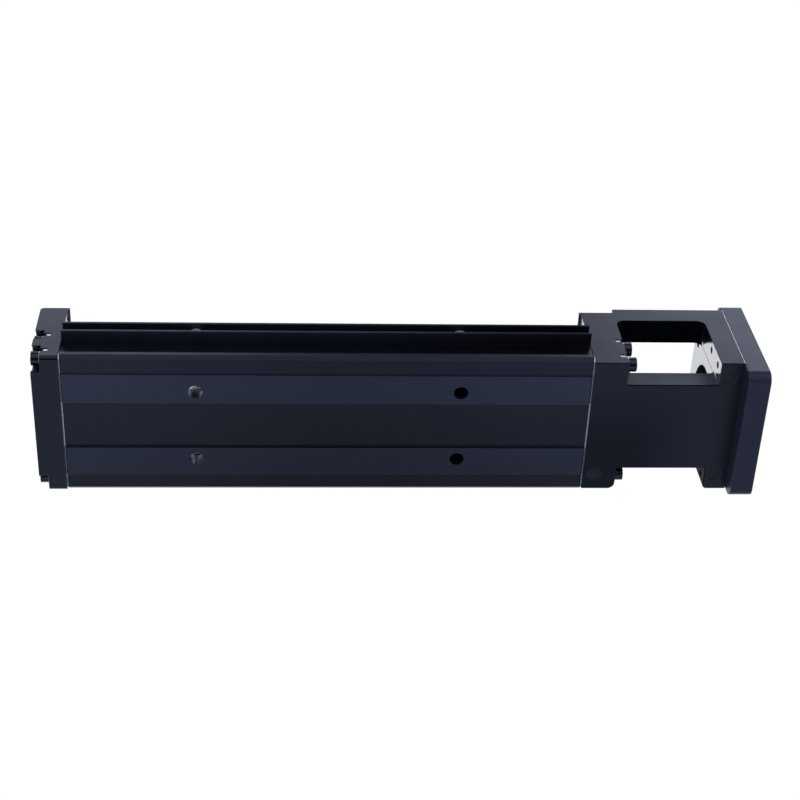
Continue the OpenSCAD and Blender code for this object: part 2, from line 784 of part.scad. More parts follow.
module carriage_block() {
    x0 = carriage_x - block_len / 2;
    x1 = carriage_x + block_len / 2;
    color([0.6, 0.61, 0.64]) difference() {
        along_x(x0, block_len) carriage_outline(0);
        rod_x(x0 - cut, x1 + cut, nut_bore_d);
        rod_x(x0 - cut, x1 + cut, nut_return_d, 0, nut_return_z);
        for (p = track_places) {
            rod_x(x0 - cut, x1 + cut, 2 * track_r, p[0] * track_y, p[1]);
            rod_x(x0 - cut, x1 + cut, 2 * track_r, p[0] * return_y, p[1]);
        }
        for (x = [-1, 1]) for (y = [-1, 1])
            translate([carriage_x + x * mount_pitch / 2, y * mount_pitch / 2, carriage_h - mount_depth])
                cylinder(h = mount_depth + cut, d = mount_hole_d);
        for (x = [x0, x1]) for (y = [-1, 1])
            rod_x(x - cap_tap_depth, x + cap_tap_depth, small_screw_d + 2 * thread_gap,
                y * cap_screw_y, cap_screw_z);
        translate([carriage_x, block_w / 2, nipple_z])
            rotate([90, 0, 0])
                cylinder(h = 2 * nipple_tap, d = nipple_d + 2 * thread_gap, center = true);
    }
}

cap_tap_depth = 5;
nipple_z = (wall_h + carriage_h) / 2;
nipple_d = 4;
nipple_tap = 4;

// Ball return cap. Half rings in its inner face turn each row of balls back into its
// return hole. The cap reaches from x0 towards dir.
module return_cap(x0, dir) {
    x_out = x0 + dir * cap_len;
    low = min(x0, x_out);
    difference() {
        along_x(low, cap_len) carriage_outline(cap_inset);
        rod_x(low - cut, low + cap_len + cut, nut_bore_d + 1);
        for (p = track_places)
            translate([x0, p[0] * (track_y + return_y) / 2, p[1]])
                rotate_extrude()
                    translate([return_inset / 2, 0])
                        circle(track_r);
        for (y = [-1, 1])
            rod_x(low - cut, low + cap_len + cut, small_screw_d + 2 * hole_gap, y * cap_screw_y, cap_screw_z);
    }
}

module return_cap_left() {
    color([0.75, 0.76, 0.74]) return_cap(carriage_x - block_len / 2, -1);
}

module return_cap_right() {
    color([0.75, 0.76, 0.74]) return_cap(carriage_x + block_len / 2, 1);
}

module end_seal(x0) {
    difference() {
        along_x(x0, seal_t) carriage_outline(cap_inset / 2);
        rod_x(x0 - cut, x0 + seal_t + cut, nut_bore_d);
        for (y = [-1, 1])
            rod_x(x0 - cut, x0 + seal_t + cut, small_screw_d + 2 * hole_gap, y * cap_screw_y, cap_screw_z);
    }
}

module end_seal_left() {
    color([0.1, 0.1, 0.1]) end_seal(carriage_x - carriage_len / 2);
}

module end_seal_right() {
    color([0.1, 0.1, 0.1]) end_seal(carriage_x + carriage_len / 2 - seal_t);
}

// Two screws that hold a return cap and its seal on the block
module cap_screws(dir) {
    for (side = [-1, 1])
        translate([carriage_x + dir * carriage_len / 2, side * cap_screw_y, cap_screw_z])
            rotate([0, 0, dir > 0 ? 0 : 180])
                low_screw(small_screw_d, seal_t + cap_len + cap_tap_depth - tip_gap);
}

module cap_screws_left() {
    color([0.5, 0.5, 0.52]) cap_screws(-1);
}

module cap_screws_right() {
    color([0.5, 0.5, 0.52]) cap_screws(1);
}

// The loaded row of balls in each of the four tracks
module guide_balls() {
    pitch = block_len / balls_per_row;
    color([0.85, 0.85, 0.87])
        for (p = track_places) for (i = [0 : balls_per_row - 1])
            translate([carriage_x - block_len / 2 + (i + 0.5) * pitch, p[0] * track_y, p[1]])
                sphere(d = guide_ball_d);
}

// The balls on their way back through the nut's return hole
module nut_balls() {
    count = floor(block_len / (screw_ball_d + seat_gap)) - 1;
    pitch = block_len / count;
    color([0.85, 0.85, 0.87])
        for (i = [0 : count - 1])
            translate([carriage_x - block_len / 2 + (i + 0.5) * pitch, 0, nut_return_z])
                sphere(d = screw_ball_d);
}

// Grease nipple on the carriage's +Y side
module grease_nipple() {
    shank = nipple_d / 2;
    color([0.72, 0.64, 0.42])
        translate([carriage_x, block_w / 2, nipple_z])
            rotate([-90, 0, 0])
                union() {
                    rotate_extrude() polygon([
                        [0, -nipple_tap + 1], [shank, -nipple_tap + 1], [shank, 0], [shank - 0.3, 0],
                        [shank - 0.3, 2.6], [shank - 0.8, 3.2], [shank - 0.8, 3.8], [shank - 0.4, 4.3],
                        [shank - 0.9, 5], [0, 5]
                    ]);
                    cylinder(h = 2, d = nipple_d + 1.5, $fn = 6);
                }
}

module motor_plate() {
    half = plate_w / 2;
    color([0.16, 0.17, 0.2]) difference() {
        along_x(x_wall_out, plate_t)
            round_rect([-half, axis_h - half], [half, axis_h + half], plate_r);
        rod_x(x_wall_out - cut, x_plate_out + cut, wall_bore_d);
        rod_x(x_plate_out - pilot_depth, x_plate_out + cut, pilot_d);
        for (p = square_places(motor_pitch))
            rod_x(x_plate_out - motor_hole_depth, x_plate_out + cut, motor_hole_d, p[0], p[1]);
        for (p = square_places(wall_pitch)) {
            rod_x(x_wall_out - cut, x_plate_out + cut, wall_screw_d + 2 * hole_gap, p[0], p[1]);
            rod_x(x_plate_out - plate_seat, x_plate_out + cut, head_d(wall_screw_d) + 2 * hole_gap, p[0], p[1]);
        }
    }
}

// Depth of the screw seats in the motor plate
plate_seat = wall_screw_d + 0.6;

module plate_screws() {
    for (p = square_places(wall_pitch))
        color([0.1, 0.1, 0.12])
            translate([x_plate_out - plate_seat, p[0], p[1]])
                cap_screw(wall_screw_d, plate_t - plate_seat + end_wall_t - tip_gap);
}

rail();
sensor_rail();
sensor_rail_screws();
end_block();
end_block_screws();
end_block_washers();
bearing_cap();
support_bearing_outer_ring();
support_bearing_inner_ring();
support_bearing_balls();
retaining_ring();
stopper_left();
stopper_right();
motor_housing();
housing_screws();
housing_washers();
fixed_bearing_outer_rings();
fixed_bearing_inner_rings();
fixed_bearing_balls();
bearing_retainer();
retainer_screws();
lock_nut();
lock_nut_set_screw();
ball_screw();
carriage_block();
return_cap_left();
return_cap_right();
end_seal_left();
end_seal_right();
cap_screws_left();
cap_screws_right();
guide_balls();
nut_balls();
grease_nipple();
motor_plate();
plate_screws();
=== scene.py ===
"""Looks of a ball screw linear module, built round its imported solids.

Units are metres. X runs along the module with the motor end at +X, and the mounting lands lie at Z = 0.
"""

import json
import math

import bpy
import numpy as np
from mathutils import Matrix, Vector


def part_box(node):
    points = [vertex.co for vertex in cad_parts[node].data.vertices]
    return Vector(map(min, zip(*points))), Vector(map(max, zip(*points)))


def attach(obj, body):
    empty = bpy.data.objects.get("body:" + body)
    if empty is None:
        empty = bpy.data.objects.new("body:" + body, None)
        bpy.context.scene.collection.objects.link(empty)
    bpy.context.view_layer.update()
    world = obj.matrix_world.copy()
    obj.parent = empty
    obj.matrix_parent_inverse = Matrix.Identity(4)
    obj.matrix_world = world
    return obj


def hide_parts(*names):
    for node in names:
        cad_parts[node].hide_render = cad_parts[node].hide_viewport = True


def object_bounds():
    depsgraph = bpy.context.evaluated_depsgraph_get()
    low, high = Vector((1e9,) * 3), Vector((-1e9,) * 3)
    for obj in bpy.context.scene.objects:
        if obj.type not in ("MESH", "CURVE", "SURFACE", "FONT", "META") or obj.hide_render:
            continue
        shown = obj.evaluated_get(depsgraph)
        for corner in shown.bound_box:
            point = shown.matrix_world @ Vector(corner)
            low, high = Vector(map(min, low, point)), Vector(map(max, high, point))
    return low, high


MM = 0.001

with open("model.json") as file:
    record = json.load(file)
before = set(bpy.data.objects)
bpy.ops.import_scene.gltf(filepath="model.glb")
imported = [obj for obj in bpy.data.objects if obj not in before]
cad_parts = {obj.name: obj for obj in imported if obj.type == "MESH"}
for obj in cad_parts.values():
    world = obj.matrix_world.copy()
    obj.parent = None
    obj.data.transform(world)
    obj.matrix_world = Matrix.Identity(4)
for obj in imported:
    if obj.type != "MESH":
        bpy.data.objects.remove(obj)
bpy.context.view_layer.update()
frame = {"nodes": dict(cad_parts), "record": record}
nodes = frame["nodes"]


# ---------------------------------------------------------------- shader maths

HARD_EDGE = 0.02 * MM
THIN_EDGE = 0.05 * MM
ALIKE = (1, 1, 1)


class Value:
    """One socket of a material; Python's operators add Math nodes to it."""

    def __init__(self, graph, socket):
        self.graph = graph
        self.socket = socket

    def __add__(self, other):
        return self.graph.math("ADD", self, other)

    __radd__ = __add__

    def __sub__(self, other):
        return self.graph.math("SUBTRACT", self, other)

    def __rsub__(self, other):
        return self.graph.math("SUBTRACT", other, self)

    def __neg__(self):
        return 0 - self

    def __mul__(self, other):
        return self.graph.math("MULTIPLY", self, other)

    __rmul__ = __mul__

    def __pow__(self, other):
        return self.graph.math("POWER", self, other)

    def __abs__(self):
        return self.graph.math("ABSOLUTE", self)

    def above(self, edge, soft=HARD_EDGE):
        """0 below the edge, 1 above it, and smooth over the soft width on each side."""
        return self.graph.node(
            "ShaderNodeMapRange",
            {"interpolation_type": "SMOOTHSTEP"},
            {0: self, 1: edge - soft, 2: edge + soft},
        )

    def below(self, edge, soft=HARD_EDGE):
        return 1 - self.above(edge, soft)

    def between(self, low, high, soft=HARD_EDGE):
        return self.above(low, soft) * self.below(high, soft)


class Graph:
    """The nodes of one material or world."""

    def __init__(self, tree):
        self.tree = tree
        tree.nodes.clear()

    def node(self, kind, settings=None, inputs=None, output=0):
        """Adds a node: its settings first, then the values or links of its sockets."""
        made = self.tree.nodes.new(kind)
        for name, setting in (settings or {}).items():
            setattr(made, name, setting)
        for key, value in (inputs or {}).items():
            if isinstance(value, Value):
                self.tree.links.new(value.socket, made.inputs[key])
            else:
                made.inputs[key].default_value = value
        return Value(self, made.outputs[output]) if made.outputs else None

    def math(self, operation, *values):
        return self.node("ShaderNodeMath", {"operation": operation}, dict(enumerate(values)))

    def vector_math(self, operation, first, second, output=0):
        return self.node("ShaderNodeVectorMath", {"operation": operation}, {0: first, 1: second}, output)

    def dot(self, first, second):
        return self.vector_math("DOT_PRODUCT", first, second, "Value")

    def mix(self, share, first, second):
        """Colour between first and second by the share."""
        return self.node("ShaderNodeMix", {"data_type": "RGBA"}, {0: share, 6: first, 7: second}, 2)

    def split(self, vector):
        """The three numbers of a vector."""
        outs = self.node("ShaderNodeSeparateXYZ", inputs={0: vector}).socket.node.outputs
        return [Value(self, out) for out in outs]

    def place(self):
        """The point in the row frame, as a vector."""
        return self.node("ShaderNodeTexCoord", output="Object")

    def axes(self):
        return self.split(self.place())

    def noise(self, size, stretch=ALIKE, detail=3.0, rough=0.55):
        """Noise from 0 to 1 whose lumps are about size metres, longer along the stretched axes."""
        scaled = self.vector_math("MULTIPLY", self.place(), tuple(1 / (size * s) for s in stretch))
        return self.node(
            "ShaderNodeTexNoise",
            inputs={"Vector": scaled, "Scale": 1.0, "Detail": detail, "Roughness": rough},
        )

    def rounded(self, radius):
        """The normal with its sharp edges rounded by the radius."""
        return self.node("ShaderNodeBevel", {"samples": 4}, {"Radius": radius})

    def own_normal(self):
        return self.node("ShaderNodeNewGeometry", output="Normal")

    def edge_share(self, soft_normal):
        """0 on flat faces, up to 1 at sharp edges: how far the rounded normal leans from the face's own."""
        return (1 - self.dot(soft_normal, self.own_normal())).above(0.08, 0.06)

    def facing(self, axis):
        """How squarely the face looks along the axis: 1 towards it, -1 away from it."""
        return self.dot(self.own_normal(), axis)

    def bump(self, height, strength, distance, normal):
        inputs = {"Height": height, "Strength": strength, "Distance": distance, "Normal": normal}
        return self.node("ShaderNodeBump", inputs=inputs)

    def finish(self, color, rough, normal, metallic=0.0, **fixed):
        """Principled shader on the material's output. Fixed values go on its own sockets."""
        inputs = {"Base Color": color, "Roughness": rough, "Normal": normal, "Metallic": metallic}
        inputs.update({name.replace("_", " "): value for name, value in fixed.items()})
        shader = self.node("ShaderNodeBsdfPrincipled", inputs=inputs)
        self.node("ShaderNodeOutputMaterial", inputs={"Surface": shader})


def new_finish(name):
    material = bpy.data.materials.new(name)
    material.use_nodes = True
    return material, Graph(material.node_tree)


def tint(red, green, blue):
    return (red, green, blue, 1.0)


# ---------------------------------------------------------------- places that finishes depend on

X_AXIS, Y_AXIS, Z_AXIS = (1, 0, 0), (0, 1, 0), (0, 0, 1)

SCREW_HEIGHT = 20 * MM
END_WALL = 9.1 * MM
SLAB_HALF = 19 * MM
LIP_FROM = 30 * MM
CUT_DEPTH = 0.1 * MM

rail_low, rail_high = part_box("rail")
rail_end = rail_high.x
plate_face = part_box("motor_plate")[0].x
wall_face = plate_face - END_WALL
flange_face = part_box("fixed_bearing_outer_rings")[1].x


def from_screw_axis(y, z):
    height = z - SCREW_HEIGHT
    return (y * y + height * height) ** 0.5


def side_or_below(g):
    """1 on faces that look along X or down, 0 on those that look up or along Y."""
    return abs(g.facing(Y_AXIS)).below(0.5) * g.facing(Z_AXIS).below(0.5)


# ---------------------------------------------------------------- finishes

BARE_METAL = tint(0.78, 0.79, 0.81)
SAWN_STEEL = tint(0.86, 0.85, 0.8)
MILLED = tint(0.43, 0.45, 0.5), tint(0.55, 0.57, 0.62)
WORN_OXIDE = tint(0.04, 0.046, 0.06)
WORN_COAT = tint(0.22, 0.23, 0.26)
GRAIN_GLINT = tint(0.09, 0.1, 0.12)
# A dull, deep black laid on as painted shade.
PAINTED_SHADE_BLACK = tint(0.005, 0.0065, 0.011), tint(0.01, 0.012, 0.018)
DARK_SPECULAR = 0.4

# Rail: each pair is the darker and the lighter tone of one face, in painted shade or in painted light. The
# wall's tones, darker than the underside's, are partly painted shade under the sensor rail.
WALL_SHADED = tint(0.0012, 0.0018, 0.004), tint(0.002, 0.0028, 0.006)
WALL_LIT = tint(0.0044, 0.006, 0.0115), tint(0.0075, 0.0095, 0.018)
RECESS_SHADED = tint(0.0022, 0.0028, 0.0048), tint(0.0036, 0.0045, 0.007)
RECESS_LIT = tint(0.0098, 0.0124, 0.021), tint(0.0165, 0.0203, 0.033)
LAND_SHADED = tint(0.0115, 0.0145, 0.023), tint(0.0175, 0.021, 0.0325)
LAND_LIT = tint(0.029, 0.036, 0.058), tint(0.0435, 0.052, 0.081)

LAND_SIDES = 9.9 * MM, 22.5 * MM
UNDERSIDE = 2.2 * MM
TRACK_HEIGHTS = 15 * MM, 24 * MM
TRACK_HALF = 1.75 * MM
TRACK_SIDES = 19.6 * MM, 21.2 * MM
# Middle of the painted shade along the rail's underside.
SHADE_MIDDLE = 5 * MM


def rail_finish():
    """Black oxide on drawn steel: ground lands and raceways, bare chamfers at the sawn ends.

    Painted shade darkens the oxide in the middle of the underside, on its far side and towards the motor.
    """
    material, g = new_finish("rail_black_oxide")
    x, y, z = g.axes()
    out = abs(y)
    soft = g.rounded(0.3 * MM)
    edge = g.edge_share(soft)
    draw_lines = g.noise(0.35 * MM, (60, 1, 1), detail=2.0)
    blotch = g.noise(14 * MM, (1.6, 1, 1))

    # Painted light and shade: lighter away from the motor, darker in the middle of the underside and on the
    # far side; thin is the share of painted light.
    painted_light_end = x.below(0, 80 * MM)
    middle = 1 - abs(x - SHADE_MIDDLE).above(52 * MM, 52 * MM)
    thin = 1 - middle * 0.5 - y.above(0, 20 * MM) * 0.55
    wall = g.mix(painted_light_end, g.mix(blotch, *WALL_SHADED), g.mix(blotch, *WALL_LIT))
    recess = g.mix(thin, g.mix(blotch, *RECESS_SHADED), g.mix(blotch, *RECESS_LIT))
    ground = g.mix(thin, g.mix(draw_lines, *LAND_SHADED), g.mix(draw_lines, *LAND_LIT))
    land = z.below(0.15 * MM) * out.between(*LAND_SIDES)
    coat = g.mix(land, g.mix(z.below(UNDERSIDE), wall, recess), ground)
    coat = g.mix(edge * 0.4, coat, WORN_OXIDE)

    low_track, high_track = (abs(z - height) for height in TRACK_HEIGHTS)
    track = g.math("MINIMUM", low_track, high_track).below(TRACK_HALF)
    track = track * out.between(*TRACK_SIDES)
    ragged = g.noise(2.2 * MM, detail=4.0, rough=0.7)
    sawn = (abs(x) + (ragged - 0.5) * 0.3 * MM).above(rail_end - 0.32 * MM, THIN_EDGE)
    bare = g.math("MAXIMUM", track, sawn * z.below(UNDERSIDE))
    color = g.mix(bare, coat, SAWN_STEEL)
    rough = 0.34 + (draw_lines - 0.5) * 0.12 + (blotch - 0.5) * 0.08 - bare * 0.12
    grain = g.noise(0.12 * MM, (10, 1, 1), detail=2.0)
    normal = g.bump(grain + draw_lines * 0.6, 0.12, 0.05 * MM, soft)
    g.finish(color, rough, normal, bare, Specular_IOR_Level=DARK_SPECULAR)
    return material


def coated(
    name, dark, light, grain_size, grain_depth, rough, edge_light, bare_of,
    painted_shade_of=None, speck=0.0, edge=0.45 * MM,
):
    """Black coat on a casting or a milled plate: fine grain, soft blotches and lighter edges.

    bare_of makes from the graph the share of the surface that was machined after coating, and the
    painted-shade argument the share under a dull and deep black of painted shade. edge is the radius that
    its edges are broken to.
    """
    material, g = new_finish(name)
    soft = g.rounded(edge)
    worn = g.edge_share(soft)
    blotch = g.noise(9 * MM, detail=4.0, rough=0.6)
    grain = g.noise(grain_size, detail=2.0, rough=0.7)
    mill = g.noise(0.25 * MM, (1, 40, 1), detail=2.0)
    coat = g.mix(blotch, dark, light)
    coat = g.mix((grain - 0.5).above(0.12, 0.08) * speck, coat, GRAIN_GLINT)
    coat = g.mix(worn * edge_light, coat, WORN_COAT)
    bare = bare_of(g)
    color = g.mix(bare, coat, g.mix(mill, *MILLED))
    roughness = rough + (blotch - 0.5) * 0.1 + (grain - 0.5) * 0.12 - bare * (rough - 0.16)
    metallic = bare
    # Painted shade: a dull, deep black where shade falls.
    if painted_shade_of:
        shade_share = painted_shade_of(g)
        color = g.mix(shade_share, color, g.mix(blotch, *PAINTED_SHADE_BLACK))
        roughness = roughness + shade_share * 0.3
        metallic = bare + shade_share
    normal = g.bump(grain, 0.25, grain_depth, soft)
    g.finish(color, roughness, normal, metallic, Specular_IOR_Level=DARK_SPECULAR)
    return material


def machined_housing(g):
    """The housing's faces cut after coating: against the rail, inside the end wall, the bore, the screw
    seats, the lip over the rail and the rim against the motor plate.
    """
    x, y, z = g.axes()
    # A thin line along the slab's side keeps the dark coat.
    coat_line = abs(y + SLAB_HALF).below(0.18 * MM, THIN_EDGE) * z.below(31 * MM)
    inside_wall = x.between(wall_face - 0.15 * MM, wall_face + 0.3 * MM)
    inside_wall = inside_wall * y.between(-28.3 * MM, SLAB_HALF) * (1 - coat_line)
    against_rail = x.between(rail_end - CUT_DEPTH, rail_end + CUT_DEPTH)
    faces = (inside_wall + against_rail) * (-g.facing(X_AXIS)).above(0.5)
    bore = from_screw_axis(y, z).below(11.2 * MM) * x.below(flange_face)
    seats = x.between(flange_face - 2.7 * MM, flange_face - 0.05 * MM)
    seats = seats * abs(y).between(21 * MM, 28.65 * MM) * z.between(1.4 * MM, 20.1 * MM)
    lip = x.below(rail_end - 0.05 * MM) * z.above(LIP_FROM) * side_or_below(g)
    rim = x.above(plate_face - 0.17 * MM, THIN_EDGE) * (-g.facing(Y_AXIS)).above(0.6)
    return (faces + bore + seats + lip + rim).above(0.5, 0.4)


def window_painted_shade(g):
    """Painted shade on the housing: a deep black on the coupling window's roof and round corners, the end
    wall beyond the slab, thin painted shadow lines along the front and slab edges, and a darker tone under
    the flange's far side.
    """
    x, y, z = g.axes()
    # Painted shade inside the coupling window.
    roof = x.between(flange_face + 0.05 * MM, wall_face - 0.2 * MM) * z.between(22 * MM, 32.7 * MM)
    roof = roof * (-g.facing(Y_AXIS)).below(0.5)
    beyond_slab = x.between(wall_face - 0.15 * MM, wall_face + 0.3 * MM) * y.above(SLAB_HALF)
    # Thin painted shadow lines along the bottom edges.
    front_edge = y.below(-28.42 * MM, THIN_EDGE) * z.below(0.24 * MM, THIN_EDGE)
    slab_edge = z.below(0.3 * MM, THIN_EDGE) * abs(y + SLAB_HALF).below(0.3 * MM, THIN_EDGE)
    slab_edge = slab_edge * x.between(flange_face, wall_face)
    black = (roof + beyond_slab + front_edge + slab_edge).above(0.5, 0.4)
    # Painted shade, darker towards the far side of the flange's underside.
    far_side_shade = z.below(0.3 * MM) * x.below(132 * MM, 16 * MM) * y.above(-8 * MM, 17 * MM)
    return g.math("MAXIMUM", black, far_side_shade * 0.48)


def machined_alloy(g):
    """A milled piece's faces cut after anodising: the bearing seat, and the end block's face and lip
    towards the rail.
    """
    x, y, z = g.axes()
    from_rail = x - rail_low.x
    against_rail = from_rail.between(-CUT_DEPTH, CUT_DEPTH) * g.facing(X_AXIS).above(0.5)
    lip = from_rail.between(0.05 * MM, 1.5 * MM) * z.above(LIP_FROM) * side_or_below(g)
    seat = from_screw_axis(y, z).below(9.7 * MM)
    return (seat + against_rail + lip).above(0.5, 0.4)


def alloy_painted_shade(g):
    """Painted shade: a deep black where the end block's front chamfer meets its underside, and on the sensor
    rail towards the motor.
    """
    x, y, z = g.axes()
    # Painted shadow line at the chamfer's foot, and painted shade on the sensor rail towards the motor.
    chamfer_line = y.below(-28.68 * MM, THIN_EDGE) * z.below(0.4 * MM, THIN_EDGE) * x.below(rail_low.x)
    sensor_rail = x.above(30 * MM, 80 * MM) * y.below(-29 * MM)
    return chamfer_line + sensor_rail * 0.8


def metal(name, dark, light, rough, line_size, stretch=ALIKE, bump=0.1):
    """Bare or plated metal with fine lines along the stretched axis and worn bright edges."""
    material, g = new_finish(name)
    soft = g.rounded(0.12 * MM)
    edge = g.edge_share(soft)
    lines = g.noise(line_size, stretch, detail=2.0)
    cloud = g.noise(5 * MM)
    color = g.mix(lines * 0.5 + cloud * 0.5, dark, light)
    color = g.mix(edge * 0.3, color, BARE_METAL)
    roughness = rough + (lines - 0.5) * 0.12 + (cloud - 0.5) * 0.08
    g.finish(color, roughness, g.bump(lines, bump, 0.03 * MM, soft), 1.0)
    return material


def dull(name, dark, light, rough, grain_size, depth):
    """Moulded plastic or rubber: fine spark-eroded grain and a faint mottle."""
    material, g = new_finish(name)
    soft = g.rounded(0.2 * MM)
    grain = g.noise(grain_size, detail=2.0)
    cloud = g.noise(6 * MM)
    color = g.mix(cloud * 0.6 + grain * 0.4, dark, light)
    g.finish(color, rough + (grain - 0.5) * 0.15, g.bump(grain, 0.3, depth, soft))
    return material


finishes = {
    "black_steel": rail_finish(),
    "black_alloy": coated(
        "black_anodised", tint(0.010, 0.012, 0.0185), tint(0.014, 0.0165, 0.024),
        grain_size=0.16 * MM, grain_depth=0.03 * MM, rough=0.38, edge_light=0.3,
        bare_of=machined_alloy, painted_shade_of=alloy_painted_shade,
    ),
    "cast_alloy": coated(
        "black_coated_casting", tint(0.008, 0.0098, 0.016), tint(0.0115, 0.0135, 0.021),
        grain_size=0.28 * MM, grain_depth=0.05 * MM, rough=0.4, edge_light=0.25,
        bare_of=machined_housing, painted_shade_of=window_painted_shade, speck=0.15,
    ),
    "black_plastic": dull(
        "black_moulding", tint(0.012, 0.012, 0.013), tint(0.02, 0.02, 0.022),
        rough=0.5, grain_size=0.2 * MM, depth=0.03 * MM,
    ),
    "rubber": dull(
        "black_rubber", tint(0.01, 0.01, 0.01), tint(0.022, 0.022, 0.022),
        rough=0.75, grain_size=0.3 * MM, depth=0.05 * MM,
    ),
    "cap_plastic": dull(
        "pale_moulding", tint(0.5, 0.5, 0.47), tint(0.58, 0.58, 0.55),
        rough=0.45, grain_size=0.25 * MM, depth=0.03 * MM,
    ),
    "ground_steel": metal(
        "ground_steel", tint(0.42, 0.43, 0.45), tint(0.62, 0.63, 0.65),
        rough=0.28, line_size=0.2 * MM, stretch=(40, 1, 1),
    ),
    "brass": metal(
        "turned_brass", tint(0.6, 0.42, 0.16), tint(0.72, 0.54, 0.24),
        rough=0.26, line_size=0.1 * MM, stretch=(1, 8, 1),
    ),
    "spring_steel": metal(
        "phosphated_steel", tint(0.05, 0.05, 0.055), tint(0.1, 0.1, 0.11),
        rough=0.42, line_size=0.15 * MM,
    ),
    "zinc_steel": metal(
        "zinc_plate", tint(0.55, 0.56, 0.58), tint(0.72, 0.73, 0.76),
        rough=0.3, line_size=0.3 * MM,
    ),
    "screw_black": metal(
        "black_oxide_screws", tint(0.03, 0.031, 0.034), tint(0.075, 0.077, 0.082),
        rough=0.22, line_size=0.12 * MM, stretch=(6, 1, 1),
    ),
    "bearing_steel": metal(
        "polished_steel", tint(0.66, 0.67, 0.69), tint(0.76, 0.77, 0.79),
        rough=0.1, line_size=0.3 * MM, bump=0.03,
    ),
}

for part in frame["record"]["subparts"]:
    node = nodes[part["node"]]
    node.data.materials.clear()
    node.data.materials.append(finishes[part["material_slot"]])

nodes["motor_plate"].data.materials[0] = coated(
    "blue_black_anodised", tint(0.0175, 0.02, 0.0335), tint(0.024, 0.027, 0.044),
    grain_size=0.16 * MM, grain_depth=0.03 * MM, rough=0.38, edge_light=0.12,
    bare_of=machined_alloy, edge=1.2 * MM,
)


# ---------------------------------------------------------------- turned pieces

TURN_STEPS = 48
POLE = 0.02 * MM
CREASE = math.radians(32)

around_axis = np.linspace(0, 2 * math.pi, TURN_STEPS, endpoint=False)[None, :]


def turned_mesh(name, *solids):
    """A closed mesh for each solid of rings, [rings, steps, 3]: each ring joined to the next and the two
    ends capped. Edges sharper than CREASE stay sharp.
    """
    verts = []
    faces = []
    for points in solids:
        rings, steps, _ = points.shape
        index = np.arange(rings * steps).reshape(rings, steps) + len(verts)
        next_step = np.roll(index, -1, axis=1)
        quads = np.stack([index[:-1], next_step[:-1], next_step[1:], index[1:]], axis=-1)
        faces += quads.reshape(-1, 4).tolist()
        faces += [index[0][::-1].tolist(), index[-1].tolist()]
        verts += points.reshape(-1, 3).tolist()
    mesh = bpy.data.meshes.new(name)
    mesh.from_pydata(verts, [], faces)
    mesh.validate()
    mesh.shade_smooth()
    mesh.set_sharp_from_angle(angle=CREASE)
    made = bpy.data.objects.new(name, mesh)
    bpy.context.scene.collection.objects.link(made)
    return made


def dress(piece, material, body, node):
    """Gives the piece its material and body, and puts it in the place of a CAD node."""
    piece.data.materials.append(material)
    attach(piece, body)
    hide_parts(node)


# ---------------------------------------------------------------- ball screw

SCREW_LEAD = 5 * MM
LEAD_STEPS = 24
BALL_TRACK_RADIUS = 1.26 * MM
BALL_TRACK_CENTRE = 0.2 * MM
JOURNAL_EDGE = 0.5 * MM
RING_GROOVE = 0.3 * MM
FIXED_RADIUS = 5 * MM
END_RADIUS = 4 * MM


def threaded_screw():
    """Ball screw surface: radius(x, turn) = the journal's radius at x, less the ball track's depth.

    The track is a circle of BALL_TRACK_RADIUS round a centre BALL_TRACK_CENTRE above the crest, carried
    along a right-hand helix: its distance along X is the fraction of a lead between x / lead and
    turn / 2 pi.
    """
    low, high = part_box("ball_screw")
    crest = (high.y - low.y) / 2
    axis_z = (high.z + low.z) / 2
    thread_from = rail_low.x + 4 * MM
    thread_to = rail_high.x + 1 * MM
    drive_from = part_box("lock_nut")[1].x + 1 * MM
    support_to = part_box("support_bearing_inner_ring")[1].x
    inner_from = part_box("fixed_bearing_inner_rings")[0].x
    ring_from, ring_to = (corner.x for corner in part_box("retaining_ring"))
    stations = [
        (low.x, POLE), (low.x, END_RADIUS - JOURNAL_EDGE), (low.x + JOURNAL_EDGE / 2, END_RADIUS),
        (ring_from, END_RADIUS), (ring_from, END_RADIUS - RING_GROOVE),
        (ring_to, END_RADIUS - RING_GROOVE), (ring_to, END_RADIUS),
        (support_to, END_RADIUS), (support_to, END_RADIUS + 1 * MM),
        (rail_low.x + 2 * MM, END_RADIUS + 1 * MM), (rail_low.x + 3 * MM, crest),
    ]
    along = np.arange(thread_from, thread_to - SCREW_LEAD / 2, SCREW_LEAD / LEAD_STEPS)
    stations += [(x, crest) for x in along]
    stations += [
        (thread_to, crest), (inner_from, crest), (inner_from, FIXED_RADIUS),
        (drive_from - JOURNAL_EDGE, FIXED_RADIUS), (drive_from, FIXED_RADIUS - JOURNAL_EDGE),
        (drive_from, END_RADIUS), (high.x - JOURNAL_EDGE, END_RADIUS),
        (high.x, END_RADIUS - JOURNAL_EDGE), (high.x, POLE),
    ]
    x, plain = np.hsplit(np.array(stations), 2)
    away = (x / SCREW_LEAD - around_axis / (2 * math.pi) + 0.5) % 1.0 - 0.5
    drop = np.sqrt(np.clip(BALL_TRACK_RADIUS**2 - (away * SCREW_LEAD) ** 2, 0, None)) - BALL_TRACK_CENTRE
    run_out = np.clip((x - thread_from) / SCREW_LEAD, 0, 1) * np.clip((thread_to - x) / SCREW_LEAD, 0, 1)
    on_thread = (plain >= crest - 1e-6) * np.clip(run_out * 2, 0, 1)
    radius = plain - np.clip(drop, 0, None) * on_thread
    points = np.stack(
        [x + 0 * around_axis, radius * np.cos(around_axis), axis_z + radius * np.sin(around_axis)], axis=-1
    )
    return turned_mesh("ball_screw_threaded", points)


dress(threaded_screw(), finishes["ground_steel"], "screw", "ball_screw")


# ---------------------------------------------------------------- sensor rail screws

HEAD_RISE = 2.6
SOCKET_FLAT = 0.75 * MM
SOCKET_DEPTH = 1.2
